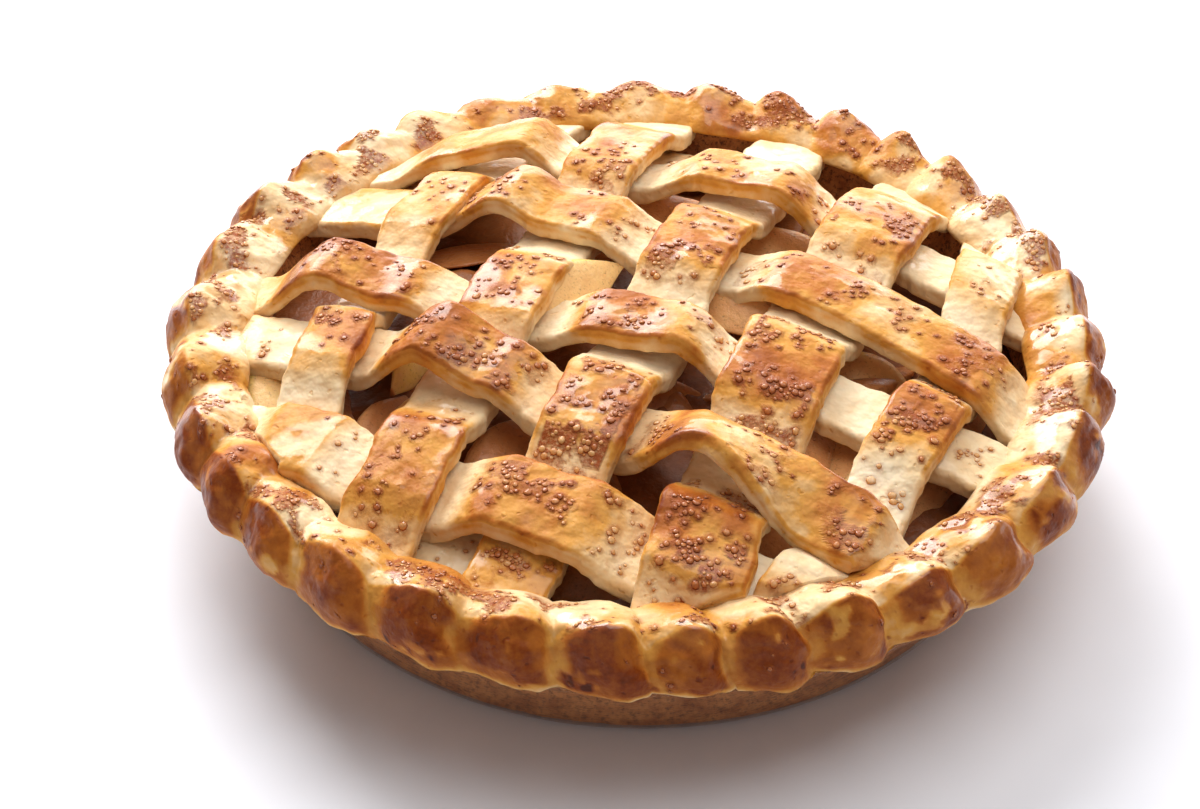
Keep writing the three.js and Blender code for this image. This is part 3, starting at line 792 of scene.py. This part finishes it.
@cache
def rim_browning():
    """How brown the rim is: most outside its crest and on the flutes, with bald golden spots,
    less in the grooves, on the lip and on the golden inner slope. Whole stretches are browner or
    paler, and some places are scorched."""
    points, _, lobes, rows = rim_surface()
    row = rows[:, None]
    bearing = np.degrees(np.arctan2(points[..., 1], points[..., 0]))

    def turn_from(degrees):
        return np.abs((bearing - degrees + 180) % 360 - 180)

    outer = smooth((row - 4.65) / 0.55) * (1 - 0.85 * smooth((row - 9.0) / 0.9))
    on_lobe = smooth((lobes - 0.10) / 0.32)
    bald = smooth((layered_noise(points, 6 * MM, 35, 3) - 0.35) / 0.4)
    blotch = smooth((layered_noise(points, 9 * MM, 39, 2) + 0.1) / 0.5)
    inner = 0.25 + 0.22 * smooth(layered_noise(points, 12 * MM, 37, 2) * 1.6 + 0.3)
    face = (0.50 + 0.22 * on_lobe + 0.18 * blotch * on_lobe - 0.28 * bald * on_lobe
            + 0.10 * layered_noise(points, 4 * MM, 33, 3))
    browning = blend(inner, face, outer) + 0.10 * layered_noise(points, 12 * MM, 31, 3)
    for middle, half, amount in RIM_BAKE:
        browning = browning + amount * hump(turn_from(middle), 0, half, 1.2)
    browning = np.minimum(browning, RIM_BROWNEST)
    ragged = 1.1 * layered_noise(points, 2.2 * MM, 41, 2)      # how much the scorches fray
    for degrees, place, reach in RIM_SCORCHES:
        index = int(np.argmin(np.abs(rows - place)))
        centre = points[index, int(np.argmin(turn_from(degrees)[index]))]
        away = np.linalg.norm(points - centre, axis=-1) / (reach * MM)
        browning = browning + 0.3 * smooth((1.5 - (away + ragged)) / 1.4)
    return browning


def gloss(points, normals):
    """Egg wash, thin all over and thick in ragged patches, only on what faces up."""
    patches = smooth(layered_noise(points, 11 * MM, 91, 2) * 2.2 + 0.25)
    return smooth((normals[..., 2] - 0.25) / 0.45) * (0.12 + 0.88 * patches)


# ---- The lattice ----

def prepared(row, name):
    """A strip's table row as numbers in metres, with what follows from its direction."""
    angle = math.radians(row["angle"])
    lengths = {key: row[key] * MM if key in row else None
               for key in ("offset", "bow", "width", "start", "end")}
    lists = {key: [(s * MM, half * MM, amount * unit) for s, half, amount in row.get(key, ())]
             for key, unit in HUMP_UNITS.items()}
    return SimpleNamespace(
        **lengths, **lists, name=name, cos=math.cos(angle), sin=math.sin(angle), stops=[],
        reach=math.sqrt(settings().lattice.edge_radius ** 2 - lengths["offset"] ** 2),
        rise=[rise * MM for rise in row.get("rise", ())], level=row.get("level", 0) * MM)


def plan(strip, distance, side):
    """A strip's centre line from above: a straight line bowed by a parabola, with side across."""
    across = strip.offset + strip.bow * (1 - (distance / strip.reach) ** 2) + side
    return (distance * strip.cos - across * strip.sin,
            distance * strip.sin + across * strip.cos)


def crossing(strip, other, steps=8):
    """Distance along a strip at which another crosses it, by repeated correction."""
    distance = 0.0
    for _ in range(steps):
        x, y = plan(strip, distance, 0)
        along = x * other.cos + y * other.sin
        across = y * other.cos - x * other.sin
        gap = across - other.offset - other.bow * (1 - (along / other.reach) ** 2)
        distance -= gap / (strip.sin * other.cos - strip.cos * other.sin)
    return distance


@cache
def strips():
    """Every strip by name, with its stops: the distances at which it meets the others, and its
    height over the dome there."""
    rising = [prepared(row, f"strip_rising_{i}") for i, row in enumerate(RISING_STRIPS, 1)]
    falling = [prepared(row, f"strip_falling_{i}") for i, row in enumerate(FALLING_STRIPS, 1)]
    drop = settings().lattice.edge_drop
    for family, others in ((rising, falling), (falling, rising)):
        for strip in family:
            met = sorted((crossing(strip, other), rise)
                         for other, rise in zip(others, strip.rise))
            end = strip.reach + BEYOND_RIM
            strip.stops = [(-end, drop), *met, (end, drop)]
    offcuts = [prepared(row, row["name"]) for row in OFFCUTS]
    return {strip.name: strip for strip in rising + falling + offcuts}


def dome_height(x, y):
    """A paraboloid, highest in the middle."""
    lattice = settings().lattice
    share = np.minimum(1, (x * x + y * y) / lattice.dome_radius ** 2)
    return lattice.edge_height + lattice.dome_rise * (1 - share)


def weave_height(strip, distance):
    """Height over the dome: level at each crossing, easing over to the next, plus free humps."""
    height = np.full_like(distance, strip.level)
    for (start, low), (end, high) in zip(strip.stops, strip.stops[1:]):
        share = (distance - start) / (end - start)
        eased = blend(low, high, smooth((share - PLATEAU) / (1 - 2 * PLATEAU)))
        height = np.where((distance >= start) & (distance <= end), eased, height)
    return height + humps(strip.arch, distance)


def section_table(top=34, corner=5, wall=5, bottom=10):
    """A rounded rectangle's outline as four arrays: the share of the flat reached sideways and
    upwards, and the unit normal's two parts, which scale the corner radius. Each edge runs along
    its direction, and at its end the normal turns from the edge's own to that direction."""
    quarter = np.linspace(0, np.pi / 2, corner, endpoint=False)[:, None]
    edges = ((top, (0, 1), (1, 0)), (wall, (1, 0), (0, -1)),
             (bottom, (0, -1), (-1, 0)), (wall, (-1, 0), (0, 1)))
    places, normals = [], []
    for count, outward, along in edges:
        outward, along = np.array(outward), np.array(along)
        flat = np.linspace(-1, 1, count, endpoint=False)[:, None]
        places += [outward + along * flat, np.tile(outward + along, (corner, 1))]
        normals += [np.tile(outward, (count, 1)),
                    outward * np.cos(quarter) + along * np.sin(quarter)]
    return (*np.concatenate(places).T.astype(float), *np.concatenate(normals).T)


def cut_edge(line, seed):
    """How far a hand-cut edge wanders: the sum of noise at three lengths."""
    return MM * sum(amount * value_noise(line, size * MM, seed + step)
                    for size, step, amount in EDGE_WANDER)


@cache
def strip_surface(name):
    """Points, normals, distances and top mask of a strip: a rounded rectangle carried along its
    line over the dome and the weave, twisted, with cut edges that wander, a top that swells as a
    parabola, half as thick at its very ends, and moved along its normals by noise."""
    lattice = settings().lattice
    strip = strips()[name]
    seed = 100 + 7 * list(strips()).index(name)
    length = 2 * strip.reach if strip.end is None else strip.end + strip.reach
    rows = max(24, round(length / lattice.step))
    sides, lifts, normal_side, normal_lift = section_table()
    share = np.linspace(0, 1, rows)[:, None]
    half_width = strip.width / 2
    side = sides * half_width
    limit = np.sqrt(lattice.edge_radius ** 2 - (strip.offset + side) ** 2)
    start = -limit if strip.start is None else strip.start
    end = limit if strip.end is None else strip.end
    distance = blend(start, end, share)
    line = stacked(distance, 0.0, 0.0)
    edge_noise = np.where(sides > 0, cut_edge(line, seed), cut_edge(line, seed + 2))
    taper = 1 - 0.5 * smooth((np.abs(2 * share - 1) - 0.99) / 0.01)
    corner = lattice.corner
    side = sides * (half_width - corner) + normal_side * corner + sides * edge_noise
    lift = lifts * (lattice.thickness / 2 - corner) + normal_lift * corner
    lift = lift * taper + lattice.crown * (1 - sides ** 2) * (normal_lift > 0.5)
    twist = humps(strip.turn, distance)
    flat_side = side * np.cos(twist) - lift * np.sin(twist)
    flat_lift = side * np.sin(twist) + lift * np.cos(twist)
    x, y = plan(strip, distance, flat_side)
    weave = weave_height(strip, distance)
    points = stacked(x, y, dome_height(x, y) + weave + flat_lift)
    normals = grid_normals(points)
    lumps = MM * (0.36 * layered_noise(points, 10 * MM, seed, 2)
                  + 0.18 * layered_noise(points, 3 * MM, seed + 4, 2))
    points = points + normals * lumps[..., None]
    top = smooth((normals[..., 2] - 0.2) / 0.5)
    return points, grid_normals(points), distance, top


@cache
def strip_browning(name):
    """How brown a strip is: most where it stands high, on its baked stretches, along its upper
    edges and in a ragged line below them, and least in the dips, all mottled by noise."""
    strip = strips()[name]
    points, _, distance, top = strip_surface(name)
    high = smooth((weave_height(strip, distance) / MM + 1.5) / 6.5)
    patches = (0.08 * np.tanh(2.2 * layered_noise(points, 20 * MM, 61, 2))
               + 0.10 * layered_noise(points, 8 * MM, 65, 3))
    baked = humps(strip.bake, distance, 1.4)
    _, lifts, normal_side, normal_lift = section_table()
    edge = smooth(2.2 * np.maximum(normal_lift, 0) * np.abs(normal_side))
    level = 0.36 * lifts + 0.64 * normal_lift
    seam = hump(level, 0.25, 0.42) * np.abs(normal_side)
    ragged = 0.6 + 0.4 * layered_noise(points, 4 * MM, 67, 2)
    return (0.155 + (0.33 * high + 0.9 * baked) * (0.5 + 0.5 * top) + patches * (0.6 + 0.6 * high)
            + (0.18 * edge + 0.24 * seam) * ragged * (0.4 + 0.6 * high))


# ---- Sugar ----

def joined(found):
    """Lists of places, radii, tones and upward directions, each laid end to end."""
    return [np.concatenate(part) for part in zip(*found)]


def thinned(grains, gap):
    """The grains that keep a gap, as a share of both radii, to the ones taken before them."""
    places, radii = grains[:2]
    taken = []
    for i, place in enumerate(places):
        if not taken or np.all(np.linalg.norm(places[taken] - place, axis=-1)
                               > gap * (radii[taken] + radii[i])):
            taken.append(i)
    return [part[taken] for part in grains]


def scattered(points, normals, weights, browning, sizes, count, random):
    """Draws grains on a grid by weight: the middle, radius, tone and upward direction of each.
    sizes holds the least radius and the span above it, of which a random share to the power 1.6
    is added, and a grain is darker on browner pastry and by chance."""
    chance = weights.reshape(-1) / weights.sum()
    chosen = random.choice(chance.size, size=count, p=chance)
    radii = MM * (sizes[0] + sizes[1] * random.random(count) ** 1.6)
    tones = np.clip(1.35 * browning.reshape(-1)[chosen] + 0.5 * random.random(count) - 0.12, 0, 1)
    places, ups = points.reshape(-1, 3)[chosen], normals.reshape(-1, 3)[chosen]
    return thinned((places, radii, tones, ups), GRAIN_GAP)


@cache
def strip_clusters(name):
    """A grid of weights for each of a strip's clusters of sugar, and the caramel crust under them
    all, thickest where a dense cluster clumps. Both lie only on the upper face where no other
    strip covers it, and at its ends."""
    strip = strips()[name]
    points, _, distance, top = strip_surface(name)
    open_top = (top > 0.9) * (np.abs(section_table()[0]) < 0.93)
    if strip.stops:
        at_end = np.abs(distance) > strip.reach - STRIP_END
        open_top = open_top * ((weave_height(strip, distance) > COVERED) | at_end)
    clumps = smooth(layered_noise(points, 6 * MM, 71, 3) * 1.7 + 0.3)
    clusters, crust = [], np.zeros(top.shape)
    for centre, half, count in strip.sugar:
        near = open_top * hump(distance, centre, half, 1.2)
        clusters.append((near * (0.06 + clumps), count))
        dense = min(1, count / (half / MM) / DENSE)
        crust = np.maximum(crust, 0.9 * dense * near * smooth((clumps - 0.25) / 0.45))
    return clusters, crust


@cache
def strip_grains(name):
    """Grains on a strip, drawn in each of its clusters."""
    points, normals, _, _ = strip_surface(name)
    random = np.random.default_rng(500 + list(strips()).index(name))
    found = [scattered(points, normals, weights, strip_browning(name), STRIP_GRAIN_SIZES,
                       STRIP_DRAWS * count, random)
             for weights, count in strip_clusters(name)[0] if weights.any()]
    return thinned(joined(found), CLUSTER_GAP)


@cache
def rim_clusters():
    """Weights for the rim's grains, most on its inner slope, and the caramel crust among them."""
    points, _, _, rows = rim_surface()
    row = rows[:, None]
    slope = smooth((row - 1.2) / 0.8) * smooth((5.2 - row) / 0.8)
    face = 0.05 * smooth((row - 5.2) / 0.5) * smooth((9.6 - row) / 0.5)
    clumps = smooth(layered_noise(points, 8 * MM, 73, 4) * 1.7 + 0.12)
    return (slope + face) * (0.04 + clumps), 0.8 * slope * smooth((clumps - 0.35) / 0.4)


@cache
def rim_grains():
    """Grains on the rim."""
    points, normals, _, _ = rim_surface()
    return scattered(points, normals, rim_clusters()[0], rim_browning(), RIM_GRAIN_SIZES,
                     RIM_DRAWS, np.random.default_rng(77))


def stains(points, grains, crust):
    """How strongly caramel has coloured each point: the crust, or more near a grain, where it
    eases off from STAIN_FULL to STAIN_END and is stronger for a darker grain."""
    places, radii, tones, _ = grains
    flat = points.reshape(-1, 3)
    most = crust.reshape(-1).copy()
    for place, radius, tone in zip(places, radii, tones):
        near = np.flatnonzero(np.abs(flat[:, 0] - place[0]) < STAIN_END * radius)
        away = np.linalg.norm(flat[near] - place, axis=-1) / radius
        faded = smooth((STAIN_END - away) / (STAIN_END - STAIN_FULL))
        most[near] = np.maximum(most[near], (0.1 + 0.8 * tone) * faded)
    return most.reshape(points.shape[:2])


def ball(columns=8, rows=5):
    """A unit ball as a grid of rows between its poles."""
    lift = np.pi * (np.arange(1, rows + 1) / (rows + 1) - 0.5)
    turn = np.linspace(0, 2 * np.pi, columns, endpoint=False)
    return polar(np.cos(lift)[:, None], turn, np.sin(lift)[:, None])


def sugar_lumps():
    """Every grain as a grid, with its tone at each point: a ball, dented by noise, half as high
    along its upward direction and stretched at random along each axis. The tone carries a painted
    highlight, paler on top, and painted shade, darker at the foot."""
    places, radii, tones, ups = joined([rim_grains()] + [strip_grains(name) for name in strips()])
    random = np.random.default_rng(3)
    unit = ball()
    stretch = radii[:, None] * (0.9 + 0.35 * random.random((len(radii), 3)))
    dents = 0.22 * value_noise(1.4 * unit + 900 * places[:, None, None], 1.0, 5)
    level = np.einsum("rck,nk->nrc", unit, ups)[..., None]
    domed = unit * (1 + dents[..., None]) - 0.5 * level * ups[:, None, None]
    grains = places[:, None, None] + domed * stretch[:, None, None]
    # Painted light: each grain's tone is paler towards its top as a painted highlight and darker
    # towards its foot as painted shade.
    tones_with_painted_light = 0.6 * tones[:, None, None] + 0.62 - 0.56 * smooth(level[..., 0] * 1.3 + 0.15)
    return grains, tones_with_painted_light


# ---- The filling ----

def syrup_points():
    """The syrup's body: a basin that lies just inside the lining's pastry, and a top that rises
    as a parabola to its middle, with lumps of noise."""
    dish, filling = settings().dish, settings().filling
    wall = basin(dish.glass + dish.lining, filling.edge_height, wall_points=8)
    rings = 60
    share = np.linspace(1, 0.01, rings)[1:]
    top = stacked(wall[-1, 0] * share,
                  blend(filling.centre_height, filling.edge_height, share ** 2))
    points = turned(np.concatenate([wall, top]), columns=200)
    points[..., 2] += (layered_noise(points, 13 * MM, 81, 3) * 1.3 * MM
                       * (points[..., 2] > wall[-1, 1]))
    return points


def slice_points(x, y, direction, lean, length, depth, thickness, sunk, seed, taper=BLUNT_TAPER):
    """An apple slice: a ball flattened, pointed at both ends by its taper, thick at the skin and
    thin at the core, bent along its length, leaned, turned and laid with its top sunk below the
    weave."""
    unit = ball(*SLICE_GRID)
    random = np.random.default_rng(seed)
    # The ball's own axis runs along the slice's length.
    through, up, along = unit[..., 0], unit[..., 1], unit[..., 2]
    pointed = (1 - along ** 2) ** taper
    flesh = np.sign(through) * np.abs(through) ** 0.75 * (0.65 + 0.35 * up)
    bend = 0.12 + 0.05 * random.standard_normal()
    local = MM * stacked(along * length / 2,
                         pointed * up * depth / 2 - bend * depth * 2 * along ** 2,
                         pointed * flesh * thickness / 2)
    local = local + 0.5 * MM * layered_noise(local + seed, 7 * MM, seed, 2)[..., None] * unit
    tip, turn = math.radians(lean), math.radians(direction)
    tipped = local @ np.array([[1, 0, 0], [0, math.cos(tip), math.sin(tip)],
                               [0, -math.sin(tip), math.cos(tip)]])
    laid = tipped @ np.array([[math.cos(turn), math.sin(turn), 0],
                              [-math.sin(turn), math.cos(turn), 0], [0, 0, 1]])
    laid = laid + np.array([x, y, 0]) * MM
    laid[..., 2] += dome_height(laid[..., 0], laid[..., 1]) - sunk - laid[..., 2].max()
    return laid


def slice_tones(tone):
    """A slice's tone over its skin: the skin side is yellow on a pale slice and a little lighter
    on a dark one, and both tips are dark."""
    unit = ball(*SLICE_GRID)
    skin_side = smooth((unit[..., 1] - 0.66) / 0.2)
    tips = smooth((np.abs(unit[..., 2]) - 0.86) / 0.08)
    return blend(tone, max(0.0, tone - 0.16), skin_side) + 0.9 * tips


def apple_slices():
    """Every slice with its tone: those that show through the lattice, and buried ones on a
    sunflower spiral."""
    laid = []
    for i, (*place, sunk, tone) in enumerate(SHOWN_SLICES):
        taper = SHARP_TAPER if i == SHARP_SLICE else BLUNT_TAPER
        laid.append((slice_points(*place, sunk * MM, 900 + i, taper), tone))
    gap = settings().filling.buried_gap
    random = np.random.default_rng(19)
    for i in range(BURIED_SLICES):
        angle = SUNFLOWER_TURN * i
        radius = BURIED_REACH * math.sqrt((i + 0.5) / BURIED_SLICES)
        direction, lean = 360 * random.random(), 10 + 24 * random.random()
        length, depth, thickness = 30 + 14 * random.random(), 17, 6
        sunk = gap + (1 + 2 * random.random()) * MM
        laid.append((slice_points(radius * math.cos(angle), radius * math.sin(angle), direction,
                                  lean, length, depth, thickness, sunk, 950 + i),
                     0.3 + 0.6 * random.random()))
    return laid


# ---- Operators ----

class PIE_OT_glass_dish(bpy.types.Operator):
    """Turns the clear glass dish"""

    bl_idname = "pie.glass_dish"
    bl_label = "Glass dish"

    def execute(self, context):
        add_piece("dish_glass", [dish_points()], clear_glass(), "glass", ["glass_dish"])
        return {"FINISHED"}


class PIE_OT_lining(bpy.types.Operator):
    """Lines the dish with pastry"""

    bl_idname = "pie.lining"
    bl_label = "Pastry lining"

    def execute(self, context):
        add_piece("crust_lining", [lining_points()], lining_pastry(), "rim_pastry", ["crust"])
        return {"FINISHED"}


class PIE_OT_rim(bpy.types.Operator):
    """Pinches the fluted rim"""

    bl_idname = "pie.rim"
    bl_label = "Fluted rim"

    def execute(self, context):
        points, normals, _, _ = rim_surface()
        add_piece("crust_rim", [points], rim_pastry(), "rim_pastry", ["crust"], ring=True,
                  browning=[rim_browning()], gloss=[gloss(points, normals)],
                  stain=[stains(points, rim_grains(), rim_clusters()[1])])
        return {"FINISHED"}


class PIE_OT_lattice(bpy.types.Operator):
    """Weaves the strips and lays the offcuts"""

    bl_idname = "pie.lattice"
    bl_label = "Lattice strips"

    def execute(self, context):
        for name in strips():
            points, normals, _, _ = strip_surface(name)
            add_piece(name.replace("strip", "lattice"), [points], strip_pastry(),
                      "lattice_pastry", [name],
                      browning=[strip_browning(name)], gloss=[gloss(points, normals)],
                      stain=[stains(points, strip_grains(name), strip_clusters(name)[1])])
        return {"FINISHED"}


class PIE_OT_filling(bpy.types.Operator):
    """Fills the crust with apple slices in syrup"""

    bl_idname = "pie.filling"
    bl_label = "Apple filling"

    def execute(self, context):
        add_piece("filling_syrup", [syrup_points()], syrup(), "apple_filling", ["filling"])
        slices, tones = zip(*apple_slices())
        add_piece("apple_slices", slices, apple_flesh(), "apple_filling", ["filling"],
                  tone=[slice_tones(tone) for tone in tones])
        return {"FINISHED"}


class PIE_OT_sugar(bpy.types.Operator):
    """Sprinkles coarse sugar over the rim and the strips"""

    bl_idname = "pie.sugar"
    bl_label = "Coarse sugar"

    def execute(self, context):
        # The tone layer holds each grain's colour with a painted highlight on top and painted shade
        # at its foot.
        grains, tones_with_painted_light = sugar_lumps()
        add_piece("sugar_grains", grains, caramel_sugar(), "lattice_pastry", [], tone=tones_with_painted_light)
        return {"FINISHED"}


class PIE_OT_stage(bpy.types.Operator):
    """Sets the floor, the lights and the camera"""

    bl_idname = "pie.stage"
    bl_label = "Stage"

    def execute(self, context):
        add_floor()
        add_lights()
        add_camera()
        return {"FINISHED"}


# ---- Stage ----

def add_floor():
    """A wide pale surface under the pie."""
    reach = 6.0
    mesh = bpy.data.meshes.new("floor")
    corners = [(-reach, -reach, 0), (reach, -reach, 0), (reach, reach, 0), (-reach, reach, 0)]
    mesh.from_pydata(corners, [], [(0, 1, 2, 3)])
    shader = Shader("floor_cloth", Base_Color=settings().colour.floor, Roughness=0.9)
    mesh.materials.append(shader.material)
    floor = linked("floor", mesh)


def add_area_light(name, place, aim, size, watts, tint):
    """A rectangular soft light at place that faces aim."""
    light = bpy.data.lights.new(name, "AREA")
    light.shape = "RECTANGLE"
    light.size, light.size_y = size
    light.energy = watts
    light.color = tint
    direction = Vector(aim) - Vector(place)
    turn = direction.to_track_quat("-Z", "Y").to_matrix().to_4x4()
    linked(name, light).matrix_world = Matrix.Translation(place) @ turn


def add_lights():
    """A window from behind on the left, a bright strip along the back, a soft light overhead, and
    a pale room."""
    pie_middle = (0, 0, 0.04)
    for name, place, size, watts, tint in (
            ("window", (-0.58, 1.33, 1.22), (1.2, 1.1), 45, (1.0, 0.985, 0.96)),
            ("horizon", (0.1, 1.6, 0.42), (2.6, 0.8), 24, (1.0, 1.0, 1.0)),
            ("overhead", (0.3, 0.2, 1.6), (1.4, 1.4), 16, (1.0, 0.97, 0.92))):
        add_area_light(name, place, pie_middle, size, watts, tint)
    world = bpy.data.worlds.new("room")
    world.use_nodes = True
    background = world.node_tree.nodes["Background"]
    background.inputs["Color"].default_value = (1.0, 0.93, 0.88, 1.0)
    background.inputs["Strength"].default_value = 0.27
    bpy.context.scene.world = world
    bpy.context.scene.view_settings.view_transform = "Standard"


def add_camera():
    """A long lens looking down on the pie, rolled a little."""
    pitch, roll = math.radians(39.4), math.radians(1.13)
    aim = Vector((-9.62, -11.19, 30)) * MM
    distance = 0.65
    back = Vector((0, -math.cos(pitch), math.sin(pitch)))
    right = Vector((1, 0, 0))
    up = right.cross(-back)
    turned_right = right * math.cos(roll) + up * math.sin(roll)
    turned_up = up * math.cos(roll) - right * math.sin(roll)
    camera = bpy.data.cameras.new("camera")
    camera.sensor_width = 36
    camera.lens = 71.34
    camera.clip_start = 0.05
    seat = linked("camera", camera)
    turn = Matrix((turned_right, turned_up, back)).transposed().to_4x4()
    seat.matrix_world = Matrix.Translation(aim + back * distance) @ turn
    bpy.context.scene.camera = seat


class PIE_PT_panel(bpy.types.Panel):
    """Lists the steps of making the pie, and its sizes and colours"""

    bl_idname = "PIE_PT_panel"
    bl_label = "Apple pie"
    bl_space_type = "VIEW_3D"
    bl_region_type = "UI"
    bl_category = "Apple Pie"

    def draw(self, context):
        for operator in OPERATORS:
            self.layout.operator(operator.bl_idname)
        for group in ("dish", "rim", "lattice", "filling", "colour"):
            box = self.layout.box()
            chosen = getattr(context.scene.apple_pie, group)
            for name in chosen.__annotations__:
                box.prop(chosen, name)


GROUPS = (PieDishSettings, PieRimSettings, PieLatticeSettings, PieFillingSettings,
          PieColourSettings, ApplePieSettings)
OPERATORS = (PIE_OT_stage, PIE_OT_glass_dish, PIE_OT_lining, PIE_OT_rim, PIE_OT_lattice,
             PIE_OT_filling, PIE_OT_sugar)


def register():
    for item in (*GROUPS, *OPERATORS, PIE_PT_panel):
        bpy.utils.register_class(item)
    bpy.types.Scene.apple_pie = PointerProperty(type=ApplePieSettings)


def unregister():
    del bpy.types.Scene.apple_pie
    for item in reversed((*GROUPS, *OPERATORS, PIE_PT_panel)):
        bpy.utils.unregister_class(item)


def main():
    register()
    for operator in OPERATORS:
        group, name = operator.bl_idname.split(".")
        getattr(getattr(bpy.ops, group), name)()


if __name__ == "__main__":
    main()
